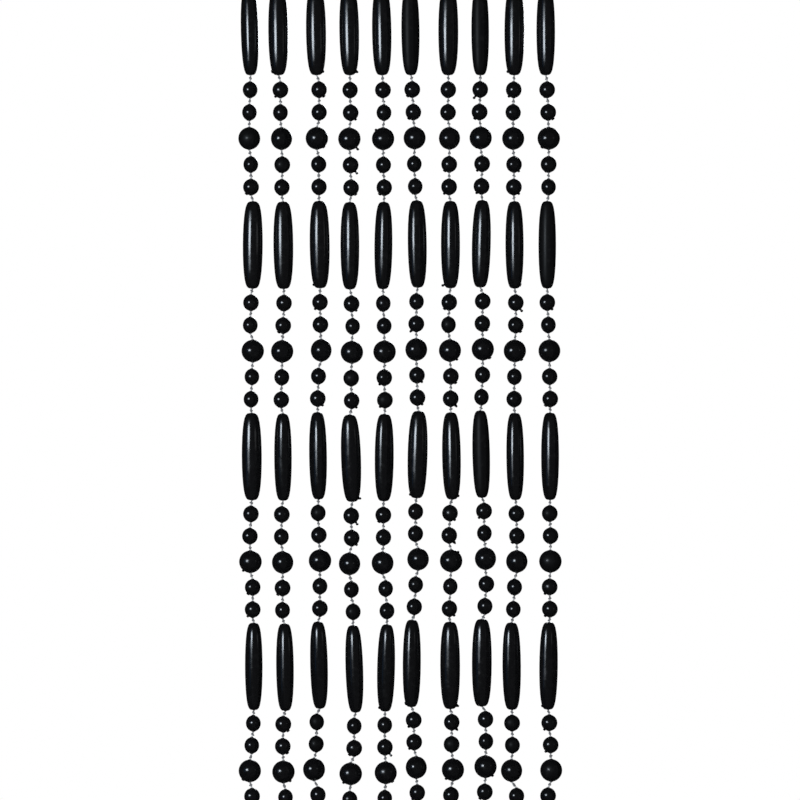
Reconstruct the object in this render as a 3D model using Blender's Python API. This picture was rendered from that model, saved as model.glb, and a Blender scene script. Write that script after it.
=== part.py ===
"""A bead fly curtain: ten strings of black beads that hang from a folded heading tape.

The origin is the middle of the heading's top edge. The curtain hangs down -Z, its width runs
along X and its front faces -Y. Lengths are in metres.
"""

import math
from collections import namedtuple

import bmesh
import bpy
from mathutils import Vector

MM = 0.001
GAP = 0.3 * MM

# Heading: a tape folded over the strip that the strings are fused to
TAPE_WIDTH = 200 * MM
TAPE_HEIGHT = 25 * MM
TAPE_CLOTH = 1.0 * MM
STRIP_WIDTH = 192 * MM
STRIP_HEIGHT = 18 * MM
STRIP_CLOTH = 1.4 * MM
FOLD_STEPS = 10

# Beads. Fullness is the power of the outline's curve: 0.5 is an ellipse, and less is blunter.
# Rings are shares of the half length, from the middle, at which the outline has a corner.
Bead = namedtuple("Bead", "length diameter fullness rings")
LONG = Bead(52.9 * MM, 11.3 * MM, 0.227, (-0.94, -0.6, 0.0, 0.6, 0.94))
LARGE = Bead(14.0 * MM, 13.2 * MM, 0.5, (-0.8, -0.4, 0.0, 0.4, 0.8))
SMALL = Bead(10.3 * MM, 9.3 * MM, 0.5, (-0.6, 0.0, 0.6))
SIDES = 4

# Thread, and the knot and tail that end each string
THREAD_DIAMETER = 1.0 * MM
ROOT_DEPTH = 3 * MM
KNOT_DROP = 4.0 * MM
KNOT_DIAMETER = 2.6 * MM
TAIL = 6 * MM

# Strings, and the repeat of beads down each. The thread pulls tighter under more weight, so a repeat
# is longer higher up. The balls' places are shares of the way from one long bead to the next.
STRING_PITCH = 20 * MM
FIRST_LONG_Z = -58 * MM
REPEATS = (128.5 * MM, 127.4 * MM, 126.3 * MM, 125.6 * MM)
BALLS = ((SMALL, 0.273), (SMALL, 0.379), (LARGE, 0.501), (SMALL, 0.623), (SMALL, 0.729))
BALL_STEP = 0.4 * MM
DEPTH_SWAY = 0.5 * MM

# How each string hangs. Sways, in mm, are how far its long beads and large balls stand to the side of
# the string's even place, and bows how far each pair of small balls stands to the side of the line
# between its neighbours. Leans, in degrees, turn each long bead's lower end towards +X. Stretch, in mm,
# is what each repeat is longer than usual.
Hang = namedtuple("Hang", "long_sways large_sways bows leans stretch")
HANGS = (
    Hang((-0.3, 1.6, 1.0, 2.2, 1.0), (-0.5, 1.6, 0.2, -0.2),
         (0.4, 0.5, -1.2, -0.4, -0.3, 0.7, 0.7, 0.8), (1.4, -0.3, 0.3, 0.1, 0.5), 0.1),
    Hang((-3.1, 0.0, -0.2, 1.0, 0.6), (-1.1, -0.7, -0.4, 0.1),
         (-0.1, -0.1, 0.4, -0.7, -1.0, -0.8, -0.9, 0.7), (0.6, 0.5, 0.2, 0.7, -0.4), 0.25),
    Hang((-0.3, 1.9, 0.9, 1.5, 0.8), (0.2, 2.8, 2.1, -1.5),
         (1.2, 0.3, -0.6, -1.5, -0.8, -0.2, 0.2, 1.6), (0.8, 0.7, 0.8, 1.3, 0.6), -0.15),
    Hang((-0.3, 0.1, 0.8, 2.8, 0.8), (-0.2, 1.3, -0.1, 0.6),
         (0.4, 0.5, 0.4, -0.3, 0.8, 0.5, 1.4, -0.4), (0.9, 0.2, 1.8, 1.8, 0.3), 0.6),
    Hang((-0.7, 0.3, 0.8, 1.9, 1.4), (0.1, 1.0, -0.2, 1.7),
         (0.6, 0.4, -0.1, 0.2, 0.4, 1.7, -0.3, -0.1), (0.8, -0.6, -0.5, -1.3, -0.5), 0.4),
    Hang((-3.4, 0.7, 0.9, -2.6, 0.2), (-0.9, 0.1, 1.2, 0.1),
         (0.1, -0.2, 0.2, 0.6, -1.1, -0.2, -0.2, 0.8), (0.6, 0.8, -1.4, -0.5, 0.7), -0.5),
    Hang((-0.6, 0.7, 1.3, 0.5, 0.4), (0.1, 0.4, 1.1, 2.2),
         (-0.3, -0.1, -0.6, 0.4, -0.9, -0.4, -0.2, -0.9), (0.1, 0.1, 0.9, 0.2, -0.6), -0.1),
    Hang((-1.4, -0.7, -0.8, -0.4, 0.9), (-1.1, 0.2, 1.8, 1.8),
         (-0.4, 0.6, 0.0, -0.2, -0.1, 0.7, 0.6, -0.6), (0.3, -1.3, 1.2, -0.2, 0.4), -0.65),
    Hang((-0.8, -0.7, -0.3, -2.4, 0.6), (-1.5, -0.5, 0.7, -2.5),
         (-0.4, -0.1, 0.3, -0.7, -0.1, -1.0, 0.1, 2.0), (-0.2, 0.2, 0.5, 0.4, 0.8), 0.05),
    Hang((-1.9, -1.0, 0.7, -0.2, -0.5), (-0.1, 0.3, 0.9, 1.4),
         (-0.3, -0.1, -0.7, -0.1, -0.2, -0.2, -0.2, -1.3), (0.1, 0.0, 0.0, -0.6, 0.3), 0.0),
)


def clear_scene():
    for obj in list(bpy.data.objects):
        bpy.data.objects.remove(obj, do_unlink=True)


def plain_material(name, colour, roughness):
    material = bpy.data.materials.new(name)
    material.use_nodes = True
    shader = material.node_tree.nodes["Principled BSDF"]
    shader.inputs["Base Color"].default_value = (*colour, 1.0)
    shader.inputs["Roughness"].default_value = roughness
    shader.inputs["Metallic"].default_value = 0.0
    return material


def object_from(bm, name, material):
    bmesh.ops.recalc_face_normals(bm, faces=bm.faces)
    mesh = bpy.data.meshes.new(name)
    bm.to_mesh(mesh)
    bm.free()
    mesh.materials.append(material)
    obj = bpy.data.objects.new(name, mesh)
    bpy.context.collection.objects.link(obj)
    return obj


# Heading


def fold_arc(radius, centre_z, turn):
    """Points of a half circle over the fold, from front to back where turn is 1, or back to front."""
    angles = [math.pi * step / FOLD_STEPS for step in range(FOLD_STEPS + 1)]
    return [(0.0, -turn * radius * math.cos(a), centre_z + radius * math.sin(a)) for a in angles]


def heading_tape(material):
    """The tape as an upside-down U, extruded along the width."""
    inner = STRIP_CLOTH / 2 + GAP
    outer = inner + TAPE_CLOTH
    fold_z = -outer
    outline = [(0.0, -outer, -TAPE_HEIGHT)]
    outline += fold_arc(outer, fold_z, 1)
    outline += [(0.0, outer, -TAPE_HEIGHT), (0.0, inner, -TAPE_HEIGHT)]
    outline += fold_arc(inner, fold_z, -1)
    outline += [(0.0, -inner, -TAPE_HEIGHT)]

    bm = bmesh.new()
    start = Vector((-TAPE_WIDTH / 2, 0.0, 0.0))
    face = bm.faces.new([bm.verts.new(start + Vector(point)) for point in outline])
    swept = bmesh.ops.extrude_face_region(bm, geom=[face])["geom"]
    moved = [item for item in swept if isinstance(item, bmesh.types.BMVert)]
    bmesh.ops.translate(bm, verts=moved, vec=(TAPE_WIDTH, 0.0, 0.0))
    return object_from(bm, "heading_tape", material)


def root_strip(material):
    """The strip inside the fold, a gap clear of it at its top corners, and its lower edge's height."""
    top = -(STRIP_CLOTH / 2 + GAP + TAPE_CLOTH)
    bm = bmesh.new()
    bmesh.ops.create_cube(bm, size=1.0)
    bmesh.ops.scale(bm, verts=bm.verts, vec=(STRIP_WIDTH, STRIP_CLOTH, STRIP_HEIGHT))
    bmesh.ops.translate(bm, verts=bm.verts, vec=(0.0, 0.0, top - STRIP_HEIGHT / 2))
    return object_from(bm, "bead_strings", material), top - STRIP_HEIGHT


# Strings


def side_step(string, hang, repeat, place):
    """How far a ball stands to the side of its string's even place. Place is its row in BALLS."""
    kind, share = BALLS[place]
    large = hang.large_sways[repeat]
    if share < 0.5:
        nearest_long = hang.long_sways[repeat]
        along = share / 0.5
    else:
        nearest_long = hang.long_sways[repeat + 1]
        along = (1.0 - share) / 0.5
    step = (nearest_long + (large - nearest_long) * along) * MM
    if kind is SMALL:
        pair = 2 * repeat + (share > 0.5)
        step += hang.bows[pair] * MM + BALL_STEP * math.sin(5.1 * place + 3.3 * pair + string)
    return step


def placed_beads(string, hang):
    """Each bead of a string from the top: its kind, the x and z of its middle, and its lean."""
    even_x = (string - (len(HANGS) - 1) / 2) * STRING_PITCH
    long_z = FIRST_LONG_Z
    beads = []
    for repeat, usual_length in enumerate(REPEATS):
        length = usual_length + hang.stretch * MM
        beads.append((LONG, even_x + hang.long_sways[repeat] * MM, long_z, math.radians(hang.leans[repeat])))
        for place, (kind, share) in enumerate(BALLS):
            x = even_x + side_step(string, hang, repeat, place)
            beads.append((kind, x, long_z - share * length, 0.0))
        long_z -= length
    beads.append((LONG, even_x + hang.long_sways[-1] * MM, long_z, math.radians(hang.leans[-1])))
    return beads


def bead_rings(bead, x, z, lean):
    """The x, z and radius of a bead's rings from its top pole, where the thread enters, to its lower one."""
    rings = []
    for share in (-1.0, *bead.rings, 1.0):
        radius = bead.diameter / 2 * (1.0 - share * share) ** bead.fullness
        below = share * bead.length / 2
        rings.append((x + below * math.tan(lean), z - below, max(radius, THREAD_DIAMETER / 2)))
    return rings


def depth_sway(string, below_root):
    """How far a string stands behind the heading's plane, growing from nothing over the first repeat."""
    reach = min(max(below_root / REPEATS[0], 0.0), 1.0)
    return DEPTH_SWAY * reach * math.sin(2.1 * string - below_root / REPEATS[0])


def string_rings(string, hang, root_z):
    """The rings of a whole string, from its root in the strip to its tail: x, z and radius."""
    beads = placed_beads(string, hang)
    thread = THREAD_DIAMETER / 2
    rings = [(beads[0][1], root_z + ROOT_DEPTH, thread)]
    for bead, x, z, lean in beads:
        rings += bead_rings(bead, x, z, lean)
    end_x, end_z, _ = rings[-1]
    knot_z = end_z - KNOT_DROP
    rings.append((end_x, knot_z + KNOT_DIAMETER / 2, thread))
    rings.append((end_x, knot_z, KNOT_DIAMETER / 2))
    rings.append((end_x, knot_z - KNOT_DIAMETER / 2, thread))
    rings.append((end_x, knot_z - TAIL, thread))
    return rings


def add_string(bm, string, hang, root_z):
    """One string as a closed strand of square rings, with their corners to the front, back and sides."""
    corners = [2.0 * math.pi * side / SIDES for side in range(SIDES)]
    loops = []
    for x, z, radius in string_rings(string, hang, root_z):
        y = depth_sway(string, root_z - z)
        points = [(x + radius * math.cos(a), y + radius * math.sin(a), z) for a in corners]
        loops.append([bm.verts.new(point) for point in points])
    for upper, lower in zip(loops, loops[1:]):
        for side in range(SIDES):
            after = (side + 1) % SIDES
            bm.faces.new((upper[side], lower[side], lower[after], upper[after]))
    bm.faces.new(loops[0])
    bm.faces.new(loops[-1])


def bead_strings(material):
    """The strip with the ten strands fused to its lower edge, as one solid."""
    node, root_z = root_strip(material)
    bm = bmesh.new()
    for string, hang in enumerate(HANGS):
        add_string(bm, string, hang, root_z)
    strands = object_from(bm, "strands", material)
    strands.hide_render = True
    strands.display_type = "WIRE"
    fuse = node.modifiers.new("Fuse strings to strip", "BOOLEAN")
    fuse.operation = "UNION"
    fuse.object = strands
    return node


def main():
    clear_scene()
    heading_tape(plain_material("black_woven_tape", (0.018, 0.018, 0.02), 0.85))
    bead_strings(plain_material("gloss_black_plastic", (0.006, 0.006, 0.008), 0.12))


main()
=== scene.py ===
"""A bead fly curtain: ten strings of moulded black beads on a two-ply thread, hung from a folded tape.

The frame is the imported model's. The origin is the middle of the heading's top edge, the curtain hangs
down -Z, its width runs along X and its front faces -Y. Lengths are in metres.
"""

import math
import random
from collections import namedtuple

import bpy
from mathutils import Matrix, Vector


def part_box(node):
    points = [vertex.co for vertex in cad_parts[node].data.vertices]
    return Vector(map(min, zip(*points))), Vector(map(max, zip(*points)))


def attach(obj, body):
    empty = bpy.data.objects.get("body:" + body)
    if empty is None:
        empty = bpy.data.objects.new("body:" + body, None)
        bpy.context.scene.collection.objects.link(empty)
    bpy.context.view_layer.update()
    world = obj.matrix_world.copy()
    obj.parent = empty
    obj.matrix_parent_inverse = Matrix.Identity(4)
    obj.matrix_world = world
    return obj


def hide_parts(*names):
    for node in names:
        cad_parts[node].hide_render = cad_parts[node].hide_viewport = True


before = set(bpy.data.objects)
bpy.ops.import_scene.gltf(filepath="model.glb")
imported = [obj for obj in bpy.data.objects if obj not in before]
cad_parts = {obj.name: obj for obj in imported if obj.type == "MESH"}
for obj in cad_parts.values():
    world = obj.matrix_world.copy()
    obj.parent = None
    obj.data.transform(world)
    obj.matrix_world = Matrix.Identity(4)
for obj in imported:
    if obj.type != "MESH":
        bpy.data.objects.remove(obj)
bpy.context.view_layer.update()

MM = 0.001
SEED = 20
OVAL_SEED = 40

# Points nearer than this are merged, and one this near to a plane counts as on it
TINY = 0.01 * MM

# Heading, from the solids: the tape's thickness and the strip's place inside its fold
TAPE_LOW, TAPE_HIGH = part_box("heading_tape")
TAPE_WIDTH = TAPE_HIGH[0] - TAPE_LOW[0]
TAPE_HEIGHT = TAPE_HIGH[2] - TAPE_LOW[2]
TAPE_CLOTH = 1.0 * MM
FOLD_OUTER = TAPE_HIGH[1]
FOLD_MIDDLE = FOLD_OUTER - TAPE_CLOTH / 2
LEG_HEIGHT = TAPE_HEIGHT - FOLD_OUTER
STRIP_WIDTH = 192 * MM
STRIP_HEIGHT = 18 * MM
STRIP_CLOTH = 1.4 * MM
STRIP_TOP = -FOLD_OUTER
ROOT_Z = STRIP_TOP - STRIP_HEIGHT
ROOT_DEPTH = 3 * MM

# How the heading is meshed and rounded. The tape is a little thinner than its solid, which leaves room
# for its waves, and the angle below which cloth is shaded smooth is in degrees.
TAPE_COLUMNS = 100
LEG_ROWS = 6
FOLD_STEPS = 8
TAPE_THINNING = 0.96
TAPE_EDGE = 0.3 * MM
STRIP_EDGE = 0.35 * MM
CLOTH_SMOOTH = 50

# The tape's waves: how far its lower edges swing in and out, in a long and a lesser short wave, how far
# they rise and fall, and how far and how widely each row of stitches draws the cloth in
EDGE_SWING = 0.16 * MM
LONG_WAVE = 17 * MM
SHORT_WAVE = 6.3 * MM
SHORT_SHARE = 0.6
EDGE_RISE = 0.25 * MM
RISE_WAVE = 23 * MM
STITCH_PULL = 0.1 * MM
STITCH_PULL_REACH = 2.2 * MM

# Beads. Fullness is the power of the outline's curve: 0.5 is an ellipse, and less is blunter. Oval is the
# share by which a bead is wider one way, and narrower across it. Steps are the rings from a bead's mouth
# to its widest, and the nub's step is the ring that the nub grows below.
Bead = namedtuple("Bead", "name length diameter fullness oval steps nub_step")
LONG = Bead("long", 52.9 * MM, 11.3 * MM, 0.227, 0.065, 10, 5)
LARGE = Bead("large", 14.0 * MM, 13.2 * MM, 0.5, 0.035, 8, 4)
SMALL = Bead("small", 10.3 * MM, 9.3 * MM, 0.5, 0.04, 6, 3)
BEAD_SIDES = 20
COLLAR_HEIGHT = 0.2 * MM
COLLAR_DIAMETER = 1.9 * MM
MOUTH_DIAMETER = 1.55 * MM
BORE_DIAMETER = 1.2 * MM
SEAM_WIDTH = 0.45 * MM
SEAM_RISE = 0.045 * MM
BEAD_SMOOTH = 38

# Shares of a bead's collar: how far down it the mouth is rounded, how much wider the first ring is, how
# far out the seam starts, and how much further out than that it stands up
MOUTH_ROUNDING = 0.1
FIRST_RING = 1.1
SEAM_START = 0.9
SEAM_FULL = 1.2

# The foot of a nub: how far round from the seam it reaches, in sides of the bead, and how far below the
# bead's middle it is at least, as a share of the half length
FOOT_REACH = 1.05
FOOT_DROP = 0.2

# The stubs of plastic left where each bead was broken off its mould's runner: the height and width of
# the rings of each, in mm, from its foot
NUBS = {
    "stub": ((0.15, 1.7), (0.55, 1.4), (0.85, 1.0)),
    "lobe": ((0.2, 2.3), (0.5, 1.8), (0.7, 1.1)),
    "spike": ((0.2, 1.9), (0.9, 1.4), (1.6, 0.8)),
    "bulb": ((0.15, 1.4), (0.7, 1.0), (1.2, 1.6), (1.8, 1.4), (2.1, 0.8)),
}

# How far a bead is turned about its thread for each mark of its nub, in degrees: the side that the nub
# is on, and the least and most that are added. Turned to the back, the seam in front keeps to the right.
NUB_TURNS = {
    "r": (0, -18, 18),
    "q": (0, -18, 18),
    "l": (180, -18, 18),
    "p": (180, -18, 18),
    ".": (90, 12, 38),
}

# Strings, as in the solids. The balls' places are shares of the way from one long bead to the next.
STRING_PITCH = 20 * MM
FIRST_LONG_Z = -58 * MM
REPEATS = (128.5 * MM, 127.4 * MM, 126.3 * MM, 125.6 * MM)
BALLS = ((SMALL, 0.273), (SMALL, 0.379), (LARGE, 0.501), (SMALL, 0.623), (SMALL, 0.729))
BALL_STEP = 0.4 * MM
DEPTH_SWAY = 0.5 * MM

# How far on in its wave, in radians, each next ball or pair of balls steps, and each next string sways
BALL_PHASE = 5.1
PAIR_PHASE = 3.3
SWAY_PHASE = 2.1

# How each string hangs. Sways, in mm, are how far its long beads and large balls stand to the side of
# the string's even place, and bows how far each pair of small balls stands to the side of the line
# between its neighbours. Leans and tips, in degrees, turn each long bead's lower end towards +X and
# towards the back, and turns are how far round from side to side each long bead is widest. Stretch, in
# mm, is what each repeat is longer than usual.
Hang = namedtuple("Hang", "long_sways large_sways bows leans tips turns stretch")
HANGS = (
    Hang((-0.3, 1.6, 1.0, 2.2, 1.0), (-0.5, 1.6, 0.2, -0.2),
         (0.4, 0.5, -1.2, -0.4, -0.3, 0.7, 0.7, 0.8), (1.4, -0.3, 0.3, 0.1, 0.5),
         (0.3, 0.0, -0.2, 0.2, 0.5), (100, 0, 0, 90, 40), 0.1),
    Hang((-3.1, 0.0, -0.2, 1.0, 0.6), (-1.1, -0.7, -0.4, 0.1),
         (-0.1, -0.1, 0.4, -0.7, -1.0, -0.8, -0.9, 0.7), (0.6, 0.5, 0.2, 0.7, -0.4),
         (0.0, 0.3, 2.4, -1.6, 0.7), (170, 0, 100, 100, 50), 0.25),
    Hang((-0.3, 1.9, 0.9, 1.5, 0.8), (0.2, 2.8, 2.1, -1.5),
         (1.2, 0.3, -0.6, -1.5, -0.8, -0.2, 0.2, 1.6), (0.8, 0.7, 0.8, 1.3, 0.6),
         (0.5, 0.9, -1.0, 1.8, -0.4), (0, 0, 110, 100, 130), -0.15),
    Hang((-0.3, 0.1, 0.8, 2.8, 0.8), (-0.2, 1.3, -0.1, 0.6),
         (0.4, 0.5, 0.4, -0.3, 0.8, 0.5, 1.4, -0.4), (0.9, 0.2, 1.8, 1.8, 0.3),
         (0.0, 0.4, 2.4, 0.1, -0.8), (160, 140, 170, 110, 20), 0.6),
    Hang((-0.7, 0.3, 0.8, 1.9, 1.4), (0.1, 1.0, -0.2, 1.7),
         (0.6, 0.4, -0.1, 0.2, 0.4, 1.7, -0.3, -0.1), (0.8, -0.6, -0.5, -1.3, -0.5),
         (-0.3, 0.5, 0.7, 1.9, 0.6), (150, 120, 40, 110, 110), 0.4),
    Hang((-3.4, 0.7, 0.9, -2.6, 0.2), (-0.9, 0.1, 1.2, 0.1),
         (0.1, -0.2, 0.2, 0.6, -1.1, -0.2, -0.2, 0.8), (0.6, 0.8, -1.4, -0.5, 0.7),
         (0.0, 0.3, -0.7, -1.6, -0.5), (60, 40, 170, 60, 150), -0.5),
    Hang((-0.6, 0.7, 1.3, 0.5, 0.4), (0.1, 0.4, 1.1, 2.2),
         (-0.3, -0.1, -0.6, 0.4, -0.9, -0.4, -0.2, -0.9), (0.1, 0.1, 0.9, 0.2, -0.6),
         (0.4, 0.6, -2.0, 0.1, 0.3), (0, 140, 130, 160, 160), -0.1),
    Hang((-1.4, -0.7, -0.8, -0.4, 0.9), (-1.1, 0.2, 1.8, 1.8),
         (-0.4, 0.6, 0.0, -0.2, -0.1, 0.7, 0.6, -0.6), (0.3, -1.3, 1.2, -0.2, 0.4),
         (0.0, 0.2, 0.0, -0.8, 0.9), (70, 140, 90, 170, 60), -0.65),
    Hang((-0.8, -0.7, -0.3, -2.4, 0.6), (-1.5, -0.5, 0.7, -2.5),
         (-0.4, -0.1, 0.3, -0.7, -0.1, -1.0, 0.1, 2.0), (-0.2, 0.2, 0.5, 0.4, 0.8),
         (0.2, -0.5, -1.3, -0.3, -0.6), (170, 120, 70, 50, 20), 0.05),
    Hang((-1.9, -1.0, 0.7, -0.2, -0.5), (-0.1, 0.3, 0.9, 1.4),
         (-0.3, -0.1, -0.7, -0.1, -0.2, -0.2, -0.2, -1.3), (0.1, 0.0, 0.0, -0.6, 0.3),
         (0.0, 0.0, -1.0, -0.7, 0.4), (130, 90, 110, 50, 50), 0.0),
)

# What shows on each string, one letter for each bead or link from the top.
# Nubs: r and l are low on the right or left, q and p high on the right or left, as a bead strung
# upside down has it, and a dot is one turned to the back. A capital is a torn one, which is longer.
# Knots: u, m and l are in the upper, middle or lower part of the link, and o is one tied loosely.
# Dull: the beads whose gloss is rubbed off, by their places from 0, and how much of it, up to 1.
USUAL_DULL = 0.08
Marks = namedtuple("Marks", "nubs knots dull")
MARKS = (
    Marks(".....l.........lll...l...", "mmmmomumllllomlmmmmolmmm", {3: 0.75}),
    Marks("ll......l.......l..rrr...", "ulmlmuumommummullmolmmmo", {4: 0.87}),
    Marks("rr.r..ll...r.............", "lmulmmmmommmuummmmuomlmm", {13: 0.9, 19: 1.0, 20: 0.87}),
    Marks("R.rRRr.r...rRRr.....ll...", "mmmumulllmmommmoommmmumm", {10: 0.87, 17: 0.9}),
    Marks("...p.l....ll.l....l.Rr...", "mmloomullolummomlmlmmomm", {11: 1.0}),
    Marks(".ll.....L.rrl.....lll.l..", "mmummmumummumoummommumul", {0: 1.0}),
    Marks("....llLl.rrRrrRq.rRR.l...", "mmmlllmmmmmuomulloommumm", {8: 0.87, 20: 0.95}),
    Marks(".Ll.ll..rr...l.......rl..", "uummmmmmmmmmmuomlllmouml", {0: 1.0, 12: 1.0}),
    Marks("ll..rrrRrr....l..........", "mlommummlmllummmummmmoml", {19: 1.0, 20: 1.0}),
    Marks("..rl...r...l....lllll....", "lmmummmllmmumoullommomom", {6: 0.93, 13: 0.95, 15: 0.6, 21: 0.5}),
)

# A bead sets widest along its mould's seam, so a ball with its nub at the side is widest from side to
# side, give or take this many degrees. The other balls are turned anyhow.
SIDE_OVAL_TURN = 30

# Thread: two plies, twisted, with a knot in each link and a larger one below the closing bead. A knot's
# place is a share of the way down its link, its size is against the usual one, its ply against the
# thread's own, and its tilt in radians. The end knot winds in so many turns, each in so many steps, over
# its reach, a share of its height.
THREAD_DIAMETER = 1.1 * MM
THREAD_SIDES = 8
PLY_WAIST = 0.65
TWIST_PITCH = 2.4 * MM
THREAD_STEP = 0.4 * MM
KNOT_PLACES = {"u": 0.42, "m": 0.5, "l": 0.58, "o": 0.5}
KNOT_WIDTH = 0.85 * MM
KNOT_HEIGHT = 0.75 * MM
KNOT_PLY = 1.15
KNOT_POINTS = 20
LOOSE = 1.3
KNOT_SIZES = (0.92, 1.12)
KNOT_TILT = 0.25
END_KNOT_DROP = 4.0 * MM
END_KNOT_TURNS = 3
END_KNOT_STEPS = 10
END_KNOT_REACH = 0.8
END_KNOT_RADIUS = 0.75 * MM
END_KNOT_HEIGHT = 1.6 * MM
TAIL = 6 * MM

# Stitching through the heading. A stitch is straight for a share of its length, and dives at each end in
# steps: how far on, in lengths, how far in, in diameters, and how thick against the step before.
STITCH_ROWS = (-5.5 * MM, -16.5 * MM)
STITCH_LENGTH = 2.5 * MM
STITCH_PITCH = 3.2 * MM
STITCH_DIAMETER = 0.5 * MM
STITCH_STRAIGHT = 0.5
STITCH_DIVES = ((0.13, 0.12, 0.85), (0.12, 0.38, 0.6))
STITCH_SINK = 0.08 * MM
STITCH_MARGINS = 6 * MM

# Studio
FLOOR_Z = -1.8
FLOOR_RADIUS = 14.0
FLOOR_SIDES = 96
VIEW_MIDDLE = Vector((0.0003, 0.0, -0.28))
CAMERA_DISTANCE = 2.9
CAMERA_LENS = 216.6
SENSOR_WIDTH = 36.0
VIEW_REACH = 60.0

# The lights. Azimuth, in degrees, runs from the front towards the right.
Softbox = namedtuple("Softbox", "azimuth elevation distance width height radiance colour")
SOFTBOXES = {
    "key_softbox": Softbox(-34.5, 7.4, 2.35, 0.8, 0.45, 17.0, (0.82, 0.91, 1.0)),
    "key_spill": Softbox(-35.0, 7.4, 2.4, 0.82, 1.0, 3.0, (0.8, 0.9, 1.0)),
    "left_window": Softbox(-56.0, 5.0, 2.6, 0.8, 1.6, 0.22, (0.12, 0.45, 1.0)),
    "pale_room": Softbox(15.0, -4.0, 3.2, 6.0, 9.0, 0.036, (0.96, 0.97, 1.0)),
    "right_fill": Softbox(53.0, 6.0, 3.0, 0.4, 0.4, 0.6, (0.94, 0.97, 1.0)),
    "rear_softbox": Softbox(175.0, 13.5, 2.6, 0.4, 0.45, 7.0, (0.9, 0.95, 1.0)),
    "rear_room": Softbox(187.0, 0.0, 3.2, 6.0, 9.0, 0.03, (0.96, 0.97, 1.0)),
}


# Small helpers


def deselect_all():
    bpy.ops.object.select_all(action="DESELECT")


def select_only(*objects):
    deselect_all()
    for obj in objects:
        obj.select_set(True)
    bpy.context.view_layer.objects.active = objects[0]


def edit(obj, level="VERT"):
    select_only(obj)
    bpy.ops.object.mode_set(mode="EDIT")
    bpy.ops.mesh.select_mode(type=level)
    bpy.ops.mesh.select_all(action="DESELECT")


def leave_edit():
    bpy.ops.object.mode_set(mode="OBJECT")


def select_where(obj, kind, test):
    """In edit mode, select only the vertices, edges or faces for which the test holds."""
    bpy.ops.mesh.select_all(action="DESELECT")
    leave_edit()
    items = getattr(obj.data, kind)
    for item in items:
        item.select = test(item)
    bpy.ops.object.mode_set(mode="EDIT")


def named(obj, name):
    obj.name = name
    obj.data.name = name
    return obj


def own_copy(obj):
    copy = obj.copy()
    copy.data = obj.data.copy()
    bpy.context.collection.objects.link(copy)
    return copy


def joined(objects, name):
    """One piece from several, with its place in its mesh."""
    select_only(*objects)
    bpy.ops.object.join()
    bpy.ops.object.transform_apply(location=True, rotation=True, scale=True)
    return named(bpy.context.object, name)


def mark_faces(obj, attribute, value):
    layer = obj.data.attributes.new(attribute, "FLOAT", "FACE")
    layer.data.foreach_set("value", [value] * len(obj.data.polygons))


# Materials

# The Mix node's sockets for colours, by number: its two colours and its result
MIX_FIRST, MIX_SECOND, MIX_RESULT = 6, 7, 2


class Value:
    """A node's output, on which Python's operators add the Math nodes."""

    def __init__(self, finish, socket):
        self.finish = finish
        self.socket = socket

    def _math(self, operation, *others):
        values = {index: item for index, item in enumerate((self, *others))}
        return self.finish.node("ShaderNodeMath", {"operation": operation}, values)

    def __add__(self, other):
        return self._math("ADD", other)

    def __radd__(self, other):
        return self._math("ADD", other)

    def __sub__(self, other):
        return self._math("SUBTRACT", other)

    def __rsub__(self, other):
        return self.finish.node("ShaderNodeMath", {"operation": "SUBTRACT"}, {0: other, 1: self})

    def __mul__(self, other):
        return self._math("MULTIPLY", other)

    def __rmul__(self, other):
        return self._math("MULTIPLY", other)

    def sine(self):
        return self._math("SINE")

    def power(self, exponent):
        return self._math("POWER", exponent)

    def folded(self, length):
        """Up and down in a zigzag of this length."""
        return self._math("PINGPONG", length)

    def steps(self, low, high):
        """A soft step, from 0 at low to 1 at high."""
        values = {"Value": self, "From Min": low, "From Max": high}
        return self.finish.node("ShaderNodeMapRange", {"interpolation_type": "SMOOTHSTEP"}, values)


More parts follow.
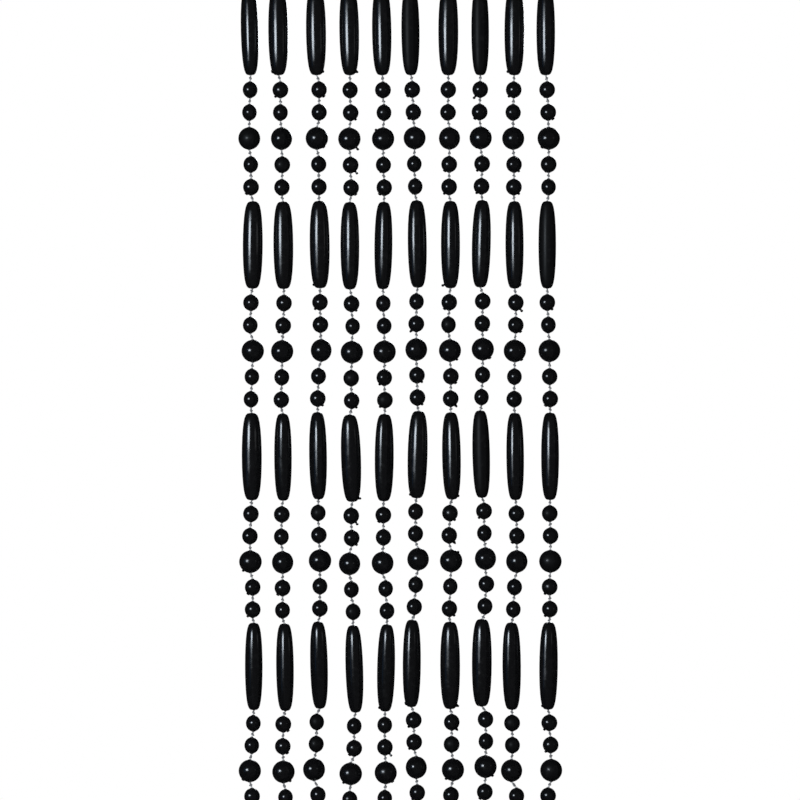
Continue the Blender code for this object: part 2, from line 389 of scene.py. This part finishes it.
class Finish:
    """A material on the Principled shader, whose nodes all come from one method."""

    def __init__(self, name, colour, roughness, **constants):
        self.material = bpy.data.materials.new(name)
        self.material.use_nodes = True
        self.material.diffuse_color = (*colour, 1.0)
        self.tree = self.material.node_tree
        self.shader = self.tree.nodes["Principled BSDF"]
        self.shader.inputs["Base Color"].default_value = (*colour, 1.0)
        self.shader.inputs["Roughness"].default_value = roughness
        for socket, value in constants.items():
            self.shader.inputs[socket.replace("_", " ")].default_value = value

    def node(self, kind, settings=None, values=None, output=0):
        made = self.tree.nodes.new(kind)
        for key, value in (settings or {}).items():
            setattr(made, key, value)
        for key, value in (values or {}).items():
            self.feed(made.inputs[key], value)
        return Value(self, made.outputs[output])

    def feed(self, socket, value):
        if isinstance(value, Value):
            self.tree.links.new(value.socket, socket)
        else:
            socket.default_value = value

    def place(self, scale=(1.0, 1.0, 1.0)):
        """Object coordinates, stretched."""
        where = self.node("ShaderNodeTexCoord", output="Object")
        return self.node("ShaderNodeMapping", values={"Vector": where, "Scale": scale})

    def noise(self, where, scale, detail=2.0, roughness=0.5):
        values = {"Vector": where, "Scale": scale, "Detail": detail, "Roughness": roughness}
        return self.node("ShaderNodeTexNoise", {"noise_dimensions": "3D"}, values)

    def attribute(self, name):
        return self.node("ShaderNodeAttribute", {"attribute_name": name}, output="Fac")

    def mix(self, share, first, second):
        """A colour that goes from first to second."""
        values = {"Factor": share}
        for socket, colour in ((MIX_FIRST, first), (MIX_SECOND, second)):
            values[socket] = (*colour, 1.0) if isinstance(colour, tuple) else colour
        return self.node("ShaderNodeMix", {"data_type": "RGBA"}, values, output=MIX_RESULT)

    def wear(self, colour=None, roughness=None, height=None, depth=0.0, coat=None):
        """Feed what changes over the surface. Height is a share of depth, in metres."""
        if colour is not None:
            self.feed(self.shader.inputs["Base Color"], colour)
        if roughness is not None:
            self.feed(self.shader.inputs["Roughness"], roughness)
        if coat is not None:
            self.feed(self.shader.inputs["Coat Weight"], coat)
        if height is not None:
            bump = self.node("ShaderNodeBump", values={"Height": height, "Distance": depth, "Strength": 1.0})
            self.feed(self.shader.inputs["Normal"], bump)


def moulded_plastic(name, mirroring, least_roughness, last_gloss=0.0):
    """Black injection-moulded plastic, a little wavy, and scuffed on the widest part.

    The last gloss is a sharper one, which is left where a bead isn't wholly dull.
    """
    colour = (0.0055, 0.0055, 0.0065)
    finish = Finish(name, colour, 0.2, IOR=1.5, Specular_IOR_Level=mirroring, Coat_Roughness=0.15)
    where = finish.place()
    wave = finish.noise(where, 160.0, detail=1.0)
    cloud = finish.noise(where, 330.0, detail=3.0)
    handled = finish.noise(where, 75.0, detail=2.0).steps(0.58, 0.78)
    scratch = finish.noise(finish.place((2600.0, 2600.0, 260.0)), 1.0, detail=2.0)
    dull = finish.attribute("dull")
    girth = finish.attribute("girth")
    rubbed = cloud.steps(0.5, 0.72) * girth.steps(0.6, 1.0)
    scratched = scratch.steps(0.66, 0.74) * rubbed
    glossy, scuffed = (0.0036, 0.0036, 0.004), (0.0075, 0.0075, 0.008)
    colour = finish.mix(rubbed * 0.5 + scratched * 0.5, glossy, scuffed)
    roughness = least_roughness + cloud * 0.05 + rubbed * 0.05 + scratched * 0.12 + handled * 0.12
    if last_gloss:
        finish.wear(colour, roughness, wave * 0.95 + cloud * 0.35, 0.07 * MM, coat=(1.0 - dull) * last_gloss)
    else:
        finish.wear(colour, roughness + dull * 0.5, wave * 0.95 + cloud * 0.05, 0.07 * MM)
    return finish.material


def twisted_thread():
    """Grey two-ply thread: paler on its fibres, and darker in its knots, where the darkness is painted shade.
    """
    finish = Finish("charcoal_thread", (0.14, 0.139, 0.14), 0.8, Sheen_Weight=0.2, Sheen_Roughness=0.5)
    fibre = finish.noise(finish.place((9000.0, 9000.0, 2400.0)), 1.0, detail=2.0)
    slub = finish.noise(finish.place(), 500.0, detail=2.0)
    # The knotted colour is painted shade: each knot's crossing plies are coloured darker in place of their
    # own shadow.
    dim, pale, knotted = (0.4, 0.397, 0.4), (0.66, 0.655, 0.657), (0.18, 0.18, 0.184)
    stretched = finish.mix(fibre.steps(0.35, 0.7) * 0.7 + slub * 0.3, dim, pale)
    colour = finish.mix(finish.attribute("knot"), stretched, knotted)
    finish.wear(colour, 0.65 + fibre * 0.3, fibre, 0.04 * MM)
    return finish.material


def woven_tape(name, rib, stripe):
    """Black herringbone tape: fine ribs that turn back on themselves at each stripe, with a painted sheen on
    their crests, painted shade in their grooves, and paler dusty fluff and wear.
    """
    finish = Finish(name, (0.016, 0.016, 0.018), 0.88, Sheen_Weight=0.3, Sheen_Roughness=0.4)
    flat = finish.node("ShaderNodeUVMap", {"uv_map": "cloth"})
    parts = finish.tree.nodes.new("ShaderNodeSeparateXYZ")
    finish.feed(parts.inputs[0], flat)
    along = Value(finish, parts.outputs["X"])
    across = Value(finish, parts.outputs["Y"])
    zigzag = across.folded(stripe)
    twill = ((along + zigzag) * (math.tau / rib)).sine() * 0.5 + 0.5
    yarn = (across * (math.tau / (0.55 * rib))).sine() * 0.5 + 0.5
    fluff = finish.noise(finish.place(), 900.0, detail=3.0)
    worn = finish.noise(finish.place(), 60.0, detail=2.0)
    # Painted sheen and shade: the twill's crests are coloured paler and its grooves darker. The fluff and
    # worn patches add real paler colour.
    crest = twill.power(1.5) * (0.6 + 0.4 * yarn)
    shade = crest * 0.45 + fluff.steps(0.5, 0.8) * 0.25 + worn.steps(0.4, 0.75) * 0.25
    # The groove colour is painted shade, and the other colour is a painted sheen on the crests mixed with
    # real dust and wear.
    groove_shade, crest_sheen_and_dust = (0.008, 0.008, 0.0095), (0.045, 0.045, 0.047)
    colour = finish.mix(shade, groove_shade, crest_sheen_and_dust)
    finish.wear(colour, 0.75 + fluff * 0.2, crest * 0.8 + fluff * 0.2, 0.25 * MM)
    return finish.material


def stitching_thread():
    finish = Finish("black_sewing_thread", (0.03, 0.03, 0.032), 0.6, Sheen_Weight=0.2)
    lay = finish.noise(finish.place((900.0, 5200.0, 5200.0)), 1.0, detail=1.0)
    colour = finish.mix(lay, (0.015, 0.015, 0.016), (0.055, 0.055, 0.057))
    finish.wear(colour, 0.5 + lay * 0.3, lay, 0.05 * MM)
    return finish.material


def pale_floor():
    finish = Finish("pale_studio_floor", (0.82, 0.82, 0.81), 0.9)
    cloud = finish.noise(finish.place(), 1.5, detail=3.0)
    finish.wear(finish.mix(cloud, (0.8, 0.8, 0.79), (0.84, 0.84, 0.83)), 0.85 + cloud * 0.1)
    return finish.material


# Strings: where each bead is


def side_step(string, hang, repeat, place):
    """How far a ball stands to the side of its string's even place. Place is its row in BALLS."""
    kind, share = BALLS[place]
    large = hang.large_sways[repeat]
    if share < 0.5:
        nearest_long = hang.long_sways[repeat]
        along = share / 0.5
    else:
        nearest_long = hang.long_sways[repeat + 1]
        along = (1.0 - share) / 0.5
    step = (nearest_long + (large - nearest_long) * along) * MM
    if kind is SMALL:
        pair = 2 * repeat + (share > 0.5)
        step += hang.bows[pair] * MM + BALL_STEP * math.sin(BALL_PHASE * place + PAIR_PHASE * pair + string)
    return step


def depth_sway(string, below_root):
    """How far a string stands behind the heading's plane, growing from nothing over the first repeat."""
    reach = min(max(below_root / REPEATS[0], 0.0), 1.0)
    return DEPTH_SWAY * reach * math.sin(SWAY_PHASE * string - below_root / REPEATS[0])


def placed_beads(string, hang):
    """Each bead of a string from the top: its kind, the middle of it, and its lean."""
    even_x = (string - (len(HANGS) - 1) / 2) * STRING_PITCH
    long_z = FIRST_LONG_Z
    rows = []
    for repeat, usual_length in enumerate(REPEATS):
        length = usual_length + hang.stretch * MM
        rows.append((LONG, even_x + hang.long_sways[repeat] * MM, long_z, math.radians(hang.leans[repeat])))
        for place, (kind, share) in enumerate(BALLS):
            x = even_x + side_step(string, hang, repeat, place)
            rows.append((kind, x, long_z - share * length, 0.0))
        long_z -= length
    rows.append((LONG, even_x + hang.long_sways[-1] * MM, long_z, math.radians(hang.leans[-1])))
    return [(kind, Vector((x, depth_sway(string, ROOT_Z - z), z)), lean) for kind, x, z, lean in rows]


def bead_ends(kind, middle, lean):
    """The middles of a bead's upper and lower mouths."""
    half = Vector((-math.sin(lean), 0.0, math.cos(lean))) * kind.length / 2
    return middle + half, middle - half


# Beads


def bead_outline(kind):
    """Radius and height of each ring, from the lower mouth's rim up to the upper one's."""
    half = kind.length / 2
    body = half - COLLAR_HEIGHT
    rim = [(MOUTH_DIAMETER / 2, half - MOUTH_ROUNDING * COLLAR_HEIGHT), (COLLAR_DIAMETER / 2, body)]
    side = []
    for step in range(1, kind.steps + 1):
        share = math.sin(0.5 * math.pi * step / kind.steps)
        radius = share * kind.diameter / 2
        if radius > FIRST_RING * COLLAR_DIAMETER / 2:
            side.append((radius, body * math.sqrt(1.0 - share ** (1.0 / kind.fullness))))
    upper = rim + side
    lower = [(radius, -height) for radius, height in upper]
    return lower + upper[-2::-1]


def turned_bead(kind):
    """A bead drawn up from a ring at its lower mouth, with its bore and the seam of its mould."""
    outline = bead_outline(kind)
    radius, height = outline[0]
    deselect_all()
    bpy.ops.mesh.primitive_circle_add(vertices=BEAD_SIDES, radius=radius, location=(0.0, 0.0, height))
    bead = named(bpy.context.object, kind.name + "_bead")
    bpy.ops.object.transform_apply(location=True)
    edit(bead)
    bpy.ops.mesh.select_all(action="SELECT")
    bore = [(BORE_DIAMETER / 2, -outline[0][1]), (BORE_DIAMETER / 2, outline[0][1]), outline[0]]
    for next_radius, next_height in outline[1:] + bore:
        rise = (0.0, 0.0, next_height - height)
        bpy.ops.mesh.extrude_region_move(TRANSFORM_OT_translate={"value": rise})
        share = next_radius / radius
        bpy.ops.transform.resize(value=(share, share, 1.0), center_override=(0.0, 0.0, next_height))
        radius, height = next_radius, next_height
    bpy.ops.mesh.select_all(action="SELECT")
    bpy.ops.mesh.remove_doubles(threshold=TINY)
    bpy.ops.mesh.normals_make_consistent(inside=False)
    raise_seam(bead, kind)
    leave_edit()
    mark_girth(bead, kind)
    return bead


def raise_seam(bead, kind):
    """The thin ridge where the two halves of the mould met, down both sides of the bead."""
    mesh = bead.data
    least = COLLAR_DIAMETER / 2 * SEAM_START

    def on_seam(edge):
        ends = [mesh.vertices[index].co for index in edge.vertices]
        return all(abs(end.y) < TINY and abs(end.x) > least for end in ends)

    bpy.ops.mesh.select_mode(type="EDGE")
    select_where(bead, "edges", on_seam)
    bpy.ops.mesh.bevel(offset=SEAM_WIDTH / 2, offset_type="OFFSET", segments=2, affect="EDGES")
    bpy.ops.mesh.select_mode(type="VERT")
    select_where(bead, "vertices", lambda v: abs(v.co.y) < TINY and abs(v.co.x) > SEAM_FULL * least)
    grown = 1.0 + 2.0 * SEAM_RISE / kind.diameter
    bpy.ops.transform.resize(value=(grown, 1.0, 1.0), center_override=(0.0, 0.0, 0.0))


def mark_girth(bead, kind):
    """How near each point is to the bead's widest, for the wear."""
    layer = bead.data.attributes.new("girth", "FLOAT", "POINT")
    for vertex, item in zip(bead.data.vertices, layer.data):
        item.value = min(vertex.co.to_2d().length / (kind.diameter / 2), 1.0)


def with_nub(plain_bead, kind, nub):
    """A copy of the bead with a nub drawn out of the faces on its seam, low on the +X side."""
    bead = named(own_copy(plain_bead), f"{kind.name}_bead_{nub}")
    mesh = bead.data
    shares = [math.sin(0.5 * math.pi * step / kind.steps) for step in (kind.nub_step - 1, kind.nub_step)]
    low, high = (share * kind.diameter / 2 for share in shares)
    window = FOOT_REACH * math.tau / BEAD_SIDES

    def in_foot(face):
        middle = face.center
        radius = middle.to_2d().length
        facing = abs(math.atan2(middle.y, middle.x)) < window
        return facing and middle.z < -FOOT_DROP * kind.length / 2 and low < radius < high

    edit(bead, "FACE")
    select_where(bead, "polygons", in_foot)
    leave_edit()
    faces = [face for face in mesh.polygons if face.select]
    centre = sum((face.center * face.area for face in faces), Vector()) / sum(face.area for face in faces)
    out = sum((face.normal * face.area for face in faces), Vector()).normalized()
    corners = [mesh.vertices[i].co - centre for face in faces for i in face.vertices]
    up = out.cross(Vector((0.0, 1.0, 0.0)))
    deep = 2.0 * max(abs(corner.y) for corner in corners)
    tall = 2.0 * max(abs(corner.dot(up)) for corner in corners)
    bpy.ops.object.mode_set(mode="EDIT")
    height = 0.0
    for next_height, next_width in NUBS[nub]:
        rise = out * (next_height * MM - height)
        bpy.ops.mesh.extrude_region_move(TRANSFORM_OT_translate={"value": rise})
        width = next_width * MM
        centre = centre + rise
        shares = (width / tall, width / deep, width / tall)
        bpy.ops.transform.resize(value=shares, center_override=centre)
        height, deep, tall = next_height * MM, width, width
    leave_edit()
    return bead


def bead_shapes(finish):
    """Each kind of bead with each nub, modelled once."""
    shapes = {}
    for kind in (LONG, LARGE, SMALL):
        plain = turned_bead(kind)
        for nub in NUBS:
            shape = with_nub(plain, kind, nub)
            shape.data.materials.append(finish)
            select_only(shape)
            bpy.ops.object.shade_smooth_by_angle(angle=math.radians(BEAD_SMOOTH))
            shapes[kind.name, nub] = shape
        bpy.data.objects.remove(plain, do_unlink=True)
    return shapes


def string_of_beads(string, hang, marks, shapes, rubbed_plastic, draw):
    """The beads of one string, each turned so that its nub is where it shows."""
    copies = []
    long_turns = zip(hang.tips, hang.turns)
    ovals = random.Random(OVAL_SEED + string)
    for place, (kind, middle, lean) in enumerate(placed_beads(string, hang)):
        mark = marks.nubs[place]
        side, least, most = NUB_TURNS[mark.lower()]
        turn = math.radians(side + draw.uniform(least, most))
        nub = draw.choice(("bulb", "spike") if mark.isupper() else ("stub", "lobe"))
        copy = own_copy(shapes[kind.name, nub])
        mark_faces(copy, "dull", marks.dull.get(place, draw.uniform(0.0, USUAL_DULL)))
        if place in marks.dull:
            copy.data.materials[0] = rubbed_plastic
        upside_down = Matrix.Rotation(math.pi, 4, "X") if mark in "qp" else Matrix()
        most_oval = 90 if mark == "." else SIDE_OVAL_TURN
        ball_turns = (0.0, ovals.uniform(-most_oval, most_oval))
        tip, widest = (math.radians(angle) for angle in (next(long_turns) if kind is LONG else ball_turns))
        facing = Matrix.Rotation(widest, 4, "Z")
        copy.data.transform(facing.inverted() @ Matrix.Rotation(turn, 4, "Z") @ upside_down)
        oval = facing @ Matrix.Diagonal((1.0 + kind.oval, 1.0 - kind.oval, 1.0, 1.0))
        leaning = Matrix.Rotation(tip, 4, "X") @ Matrix.Rotation(-lean, 4, "Y")
        copy.matrix_world = Matrix.Translation(middle) @ leaning @ oval
        copies.append(copy)
    return joined(copies, f"string_{string + 1:02d}_beads")


# Thread


def overhand_knot(centre, size, turn, tilt):
    """Points of an overhand knot on a thread that comes from above, about its middle.

    Each coordinate is a polynomial in t, which together make the simplest curve that is knotted.
    """
    spin = Matrix.Rotation(tilt, 3, "Y") @ Matrix.Rotation(turn, 3, "Z")
    points = []
    for step in range(KNOT_POINTS + 1):
        t = -2.0 + 4.0 * step / KNOT_POINTS
        width = KNOT_WIDTH * (1.0 - (0.5 * t) ** 6)
        across = (t**3 - 3.0 * t) / 4.0
        deep = (t**4 - 4.0 * t**2 + 2.0) / 4.0
        along = -(t**5 - 10.0 * t) / 24.0
        offset = Vector((across * width, deep * width, along * KNOT_HEIGHT)) * size
        points.append(centre + spin @ offset)
    return points


def barrel_knot(centre):
    """A thread that runs down, winds back up around itself, and leaves again below."""
    half = END_KNOT_HEIGHT / 2
    foot = -END_KNOT_REACH * half
    points = [centre + Vector((0.2 * MM, 0.0, half)), centre + Vector((0.25 * MM, 0.0, foot))]
    steps = END_KNOT_TURNS * END_KNOT_STEPS
    for step in range(steps + 1):
        angle = math.tau * END_KNOT_TURNS * step / steps
        z = (-END_KNOT_REACH + 2.0 * END_KNOT_REACH * step / steps) * half
        around = Vector((math.cos(angle), math.sin(angle), 0.0)) * END_KNOT_RADIUS
        points.append(centre + around + Vector((0.0, 0.0, z)))
    points += [centre + Vector((-0.2 * MM, 0.0, half)), centre + Vector((-0.15 * MM, 0.0, -half))]
    return points


def straight(start, end):
    """Points along a taut stretch of thread, after its start."""
    count = max(1, round((end - start).length / THREAD_STEP))
    return [start.lerp(end, step / count) for step in range(1, count + 1)]


def thread_route(string, hang, marks, draw):
    """The thread's points from its root in the strip to its tail, and which lie in bores and in knots."""
    beads = placed_beads(string, hang)
    first = bead_ends(*beads[0])[0]
    points = [Vector((first.x, 0.0, ROOT_Z + ROOT_DEPTH))]
    points += straight(points[0], first)
    hidden, knotted = set(), set()
    for place, bead in enumerate(beads):
        hidden.add(len(points))
        points.append(bead_ends(*bead)[1])
        if place < len(beads) - 1:
            start = points[-1]
            end = bead_ends(*beads[place + 1])[0]
            letter = marks.knots[place]
            size = LOOSE if letter == "o" else draw.uniform(*KNOT_SIZES)
            centre = start.lerp(end, KNOT_PLACES[letter])
            turn = draw.uniform(0.0, math.tau)
            knot = overhand_knot(centre, size, turn, draw.uniform(-KNOT_TILT, KNOT_TILT))
            points += straight(start, knot[0])[:-1]
            knotted.update(range(len(points), len(points) + len(knot)))
            points += knot + straight(knot[-1], end)
    end = points[-1]
    knot = barrel_knot(end - Vector((0.0, 0.0, END_KNOT_DROP)))
    tail = end - Vector((0.0, 0.0, END_KNOT_DROP + TAIL))
    points += straight(end, knot[0])[:-1] + knot + straight(knot[-1], tail)
    return points, hidden, knotted


def two_ply_section():
    """The thread's cross-section, a flat curve with a waist between its plies."""
    curve = bpy.data.curves.new("thread_section", "CURVE")
    curve.dimensions = "2D"
    spline = curve.splines.new("POLY")
    spline.points.add(THREAD_SIDES - 1)
    for side, point in enumerate(spline.points):
        angle = math.tau * side / THREAD_SIDES
        radius = THREAD_DIAMETER / 2 * (PLY_WAIST + (1.0 - PLY_WAIST) * abs(math.cos(angle)))
        point.co = (radius * math.cos(angle), radius * math.sin(angle), 0.0, 1.0)
    spline.use_cyclic_u = True
    section = bpy.data.objects.new("thread_section", curve)
    bpy.context.collection.objects.link(section)
    return section


def string_thread(string, hang, marks, section, finish, draw):
    """A string's thread, swept with its twist and made a mesh. The twist rests inside the bores."""
    points, hidden, knotted = thread_route(string, hang, marks, draw)
    curve = bpy.data.curves.new("thread", "CURVE")
    curve.dimensions = "3D"
    curve.bevel_mode = "OBJECT"
    curve.bevel_object = section
    curve.use_fill_caps = True
    spline = curve.splines.new("POLY")
    spline.points.add(len(points) - 1)
    twist = 0.0
    for index, (point, where) in enumerate(zip(spline.points, points)):
        if index and index not in hidden:
            twist += math.tau * (where - points[index - 1]).length / TWIST_PITCH
        point.co = (*where, 1.0)
        point.tilt = twist % math.tau
        point.radius = KNOT_PLY if index in knotted else 1.0
    thread = bpy.data.objects.new("thread", curve)
    bpy.context.collection.objects.link(thread)
    select_only(thread)
    bpy.ops.object.convert(target="MESH")
    thread = named(bpy.context.object, f"string_{string + 1:02d}_thread")
    thread.data.materials.clear()
    thread.data.materials.append(finish)
    bpy.ops.object.shade_smooth()
    # The rings that lie in knots, which take the thread's painted shade.
    rings = range(len(thread.data.vertices) // THREAD_SIDES)
    shade = [1.0 if ring in knotted else 0.0 for ring in rings for _ in range(THREAD_SIDES)]
    thread.data.attributes.new("knot", "FLOAT", "POINT").data.foreach_set("value", shade)
    return thread


# Heading


def folded_tape(finish):
    """The tape: a front leg raised from its lower edge, spun over the fold, and let down behind."""
    deselect_all()
    bpy.ops.mesh.primitive_grid_add(x_subdivisions=TAPE_COLUMNS, y_subdivisions=LEG_ROWS, size=1.0)
    tape = named(bpy.context.object, "folded_tape")
    bpy.ops.object.mode_set(mode="EDIT")
    bpy.ops.mesh.select_all(action="SELECT")
    bpy.ops.transform.resize(value=(TAPE_WIDTH, LEG_HEIGHT, 1.0))
    leave_edit()
    tape.rotation_euler = (math.radians(90), 0.0, 0.0)
    tape.location = (0.0, -FOLD_MIDDLE, -FOLD_OUTER - LEG_HEIGHT / 2)
    select_only(tape)
    bpy.ops.object.transform_apply(location=True, rotation=True, scale=True)
    edit(tape, "EDGE")
    mesh = tape.data

    def on_top(edge):
        return all(mesh.vertices[i].co.z > -FOLD_OUTER - TINY for i in edge.vertices)

    select_where(tape, "edges", on_top)
    bpy.ops.mesh.spin(
        steps=FOLD_STEPS, angle=math.radians(180), center=(0.0, 0.0, -FOLD_OUTER), axis=(1.0, 0.0, 0.0)
    )
    drop = (0.0, 0.0, -LEG_HEIGHT / LEG_ROWS)
    for _ in range(LEG_ROWS):
        bpy.ops.mesh.extrude_region_move(TRANSFORM_OT_translate={"value": drop})
    bpy.ops.mesh.select_all(action="SELECT")
    bpy.ops.mesh.remove_doubles(threshold=TINY)
    bpy.ops.mesh.normals_make_consistent(inside=False)
    leave_edit()
    map_cloth(tape, way_over_fold)
    settle_tape(tape)
    thick = tape.modifiers.new("Cloth thickness", "SOLIDIFY")
    thick.thickness = TAPE_CLOTH * TAPE_THINNING
    thick.offset = 0.0
    bpy.ops.object.modifier_apply(modifier=thick.name)
    edges = tape.modifiers.new("Soft edges", "BEVEL")
    edges.width = TAPE_EDGE
    edges.segments = 2
    edges.limit_method = "ANGLE"
    edges.angle_limit = math.radians(CLOTH_SMOOTH)
    bpy.ops.object.modifier_apply(modifier=edges.name)
    bpy.ops.object.shade_smooth_by_angle(angle=math.radians(CLOTH_SMOOTH))
    tape.data.materials.append(finish)
    return tape


def way_over_fold(point):
    """How far a point of the tape's middle lies from its front edge, measured over the fold."""
    if point.z > -FOLD_OUTER:
        turned = math.atan2(point.z + FOLD_OUTER, -point.y)
        return LEG_HEIGHT + turned * FOLD_MIDDLE
    if point.y < 0.0:
        return LEG_HEIGHT + FOLD_OUTER + point.z
    return LEG_HEIGHT + math.pi * FOLD_MIDDLE - FOLD_OUTER - point.z


def map_cloth(obj, across):
    """The object's own map, in metres along and across the cloth."""
    mesh = obj.data
    layer = mesh.uv_layers[0]
    layer.name = "cloth"
    for loop in mesh.loops:
        point = mesh.vertices[loop.vertex_index].co
        layer.data[loop.index].uv = (point.x, across(point))


def settle_tape(tape):
    """Slight waves: the lower edges swing in and out, and the cloth is drawn in along its stitching."""
    for vertex in tape.data.vertices:
        point = vertex.co
        side = -1.0 if point.y < 0.0 else 1.0
        free = min(max(-point.z / TAPE_HEIGHT, 0.0), 1.0) ** 2
        wave = math.sin(point.x / LONG_WAVE + side)
        wave += SHORT_SHARE * math.sin(point.x / SHORT_WAVE + 2.0 * side)
        drawn = sum(math.exp(-(((point.z - row) / STITCH_PULL_REACH) ** 2)) for row in STITCH_ROWS)
        if point.z < -FOLD_OUTER:
            point.y += EDGE_SWING * free * wave - side * STITCH_PULL * drawn
            point.z += EDGE_RISE * free * math.sin(point.x / RISE_WAVE + 1.3 * side)


def root_strip(finish):
    """The strip inside the fold that the threads are rooted in."""
    deselect_all()
    middle = (0.0, 0.0, STRIP_TOP - STRIP_HEIGHT / 2)
    bpy.ops.mesh.primitive_cube_add(size=1.0, location=middle, scale=(STRIP_WIDTH, STRIP_CLOTH, STRIP_HEIGHT))
    strip = named(bpy.context.object, "root_strip")
    bpy.ops.object.transform_apply(location=True, rotation=True, scale=True)
    bpy.ops.object.mode_set(mode="EDIT")
    bpy.ops.mesh.select_all(action="SELECT")
    bpy.ops.mesh.bevel(offset=STRIP_EDGE, segments=3, affect="EDGES")
    leave_edit()
    map_cloth(strip, lambda point: point.z)
    bpy.ops.object.shade_smooth_by_angle(angle=math.radians(CLOTH_SMOOTH))
    strip.data.materials.append(finish)
    return strip


def one_stitch():
    """A stitch along X that dives into the cloth at both ends."""
    deselect_all()
    depth = STITCH_LENGTH * STITCH_STRAIGHT
    bpy.ops.mesh.primitive_cylinder_add(vertices=6, radius=STITCH_DIAMETER / 2, depth=depth)
    stitch = named(bpy.context.object, "stitch")
    stitch.rotation_euler = (0.0, math.radians(90), 0.0)
    bpy.ops.object.transform_apply(rotation=True)
    bpy.ops.object.mode_set(mode="EDIT")
    bpy.ops.mesh.select_mode(type="FACE")
    for end in (-1.0, 1.0):
        select_where(stitch, "polygons", lambda face: face.normal.x * end > 0.9)
        for reach, dip, share in STITCH_DIVES:
            move = (end * reach * STITCH_LENGTH, dip * STITCH_DIAMETER, 0.0)
            bpy.ops.mesh.extrude_region_move(TRANSFORM_OT_translate={"value": move})
            bpy.ops.transform.resize(value=(1.0, share, share))
    leave_edit()
    bpy.ops.object.shade_smooth()
    return stitch


def tape_stitching(finish):
    """Two rows of stitches through the heading, seen on both of its faces."""
    count = int((TAPE_WIDTH - STITCH_MARGINS) / STITCH_PITCH)
    row = one_stitch()
    repeat = row.modifiers.new("Stitches", "ARRAY")
    repeat.count = count
    repeat.use_relative_offset = False
    repeat.use_constant_offset = True
    repeat.constant_offset_displace = (STITCH_PITCH, 0.0, 0.0)
    select_only(row)
    bpy.ops.object.modifier_apply(modifier=repeat.name)
    rows = []
    for height in STITCH_ROWS:
        for side in (-1.0, 1.0):
            copy = own_copy(row)
            facing = Matrix.Rotation(0.0 if side < 0 else math.pi, 4, "Z")
            first_x = side * (count - 1) * STITCH_PITCH / 2
            start = Vector((first_x, side * (FOLD_OUTER - STITCH_SINK), height))
            copy.matrix_world = Matrix.Translation(start) @ facing
            rows.append(copy)
    bpy.data.objects.remove(row, do_unlink=True)
    stitching = joined(rows, "tape_stitching")
    stitching.data.materials.append(finish)
    return stitching


# Studio


def studio_world():
    """White behind the curtain, and an even soft light that its gloss doesn't mirror."""
    world = bpy.data.worlds.new("white_studio")
    bpy.context.scene.world = world
    world.use_nodes = True
    tree = world.node_tree
    tree.nodes.clear()
    seen = tree.nodes.new("ShaderNodeBackground")
    seen.inputs["Color"].default_value = (1.0, 1.0, 1.0, 1.0)
    light = tree.nodes.new("ShaderNodeBackground")
    light.inputs["Color"].default_value = (0.97, 0.98, 1.0, 1.0)
    light.inputs["Strength"].default_value = 0.8
    path = tree.nodes.new("ShaderNodeLightPath")
    mix = tree.nodes.new("ShaderNodeMixShader")
    out = tree.nodes.new("ShaderNodeOutputWorld")
    tree.links.new(path.outputs["Is Camera Ray"], mix.inputs["Fac"])
    tree.links.new(light.outputs[0], mix.inputs[1])
    tree.links.new(seen.outputs[0], mix.inputs[2])
    tree.links.new(mix.outputs[0], out.inputs["Surface"])
    world.cycles_visibility.glossy = False


def add_softbox(name, box):
    """A light that faces the curtain."""
    around, up = math.radians(box.azimuth), math.radians(box.elevation)
    out = Vector((math.sin(around) * math.cos(up), -math.cos(around) * math.cos(up), math.sin(up)))
    light = bpy.data.lights.new(name, "AREA")
    light.shape = "RECTANGLE"
    light.size = box.width
    light.size_y = box.height
    light.energy = box.radiance * math.pi * box.width * box.height
    light.color = box.colour
    lamp = bpy.data.objects.new(name, light)
    lamp.location = VIEW_MIDDLE + out * box.distance
    lamp.rotation_euler = out.to_track_quat("Z", "Y").to_euler()
    lamp.visible_camera = False
    bpy.context.collection.objects.link(lamp)


def studio():
    studio_world()
    for name, box in SOFTBOXES.items():
        add_softbox(name, box)
    deselect_all()
    bpy.ops.mesh.primitive_circle_add(
        vertices=FLOOR_SIDES, radius=FLOOR_RADIUS, fill_type="NGON", location=(0.0, 0.0, FLOOR_Z)
    )
    floor = named(bpy.context.object, "floor")
    bpy.ops.object.transform_apply(location=True)
    floor.data.materials.append(pale_floor())
    floor.visible_glossy = False


def camera():
    data = bpy.data.cameras.new("camera")
    data.lens = CAMERA_LENS
    data.sensor_width = SENSOR_WIDTH
    data.clip_end = VIEW_REACH
    viewer = bpy.data.objects.new("camera", data)
    viewer.location = VIEW_MIDDLE - Vector((0.0, CAMERA_DISTANCE, 0.0))
    viewer.rotation_euler = (math.radians(90), 0.0, 0.0)
    bpy.context.collection.objects.link(viewer)
    bpy.context.scene.camera = viewer
    bpy.context.scene.view_settings.view_transform = "Standard"


# Putting it together


def add_piece(piece, node):
    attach(piece, "root")
    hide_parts(node)


def heading():
    tape = folded_tape(woven_tape("black_herringbone_tape", 1.1 * MM, 6.0 * MM))
    add_piece(tape, "heading_tape")
    stitching = tape_stitching(stitching_thread())
    add_piece(stitching, "heading_tape")
    strip = root_strip(woven_tape("black_strip_webbing", 0.8 * MM, 3.0 * MM))
    add_piece(strip, "bead_strings")


def strings():
    plastic = moulded_plastic("glossy_black_plastic", 0.5, 0.1)
    rubbed_plastic = moulded_plastic("rubbed_black_plastic", 0.13, 0.42, last_gloss=0.6)
    fibre = twisted_thread()
    shapes = bead_shapes(plastic)
    section = two_ply_section()
    for string, (hang, marks) in enumerate(zip(HANGS, MARKS)):
        draw = random.Random(SEED + string)
        beads = string_of_beads(string, hang, marks, shapes, rubbed_plastic, draw)
        add_piece(beads, "bead_strings")
        thread = string_thread(string, hang, marks, section, fibre, draw)
        add_piece(thread, "bead_strings")
    for spare in (*shapes.values(), section):
        bpy.data.objects.remove(spare, do_unlink=True)


def main():
    camera()
    studio()
    heading()
    strings()


main()
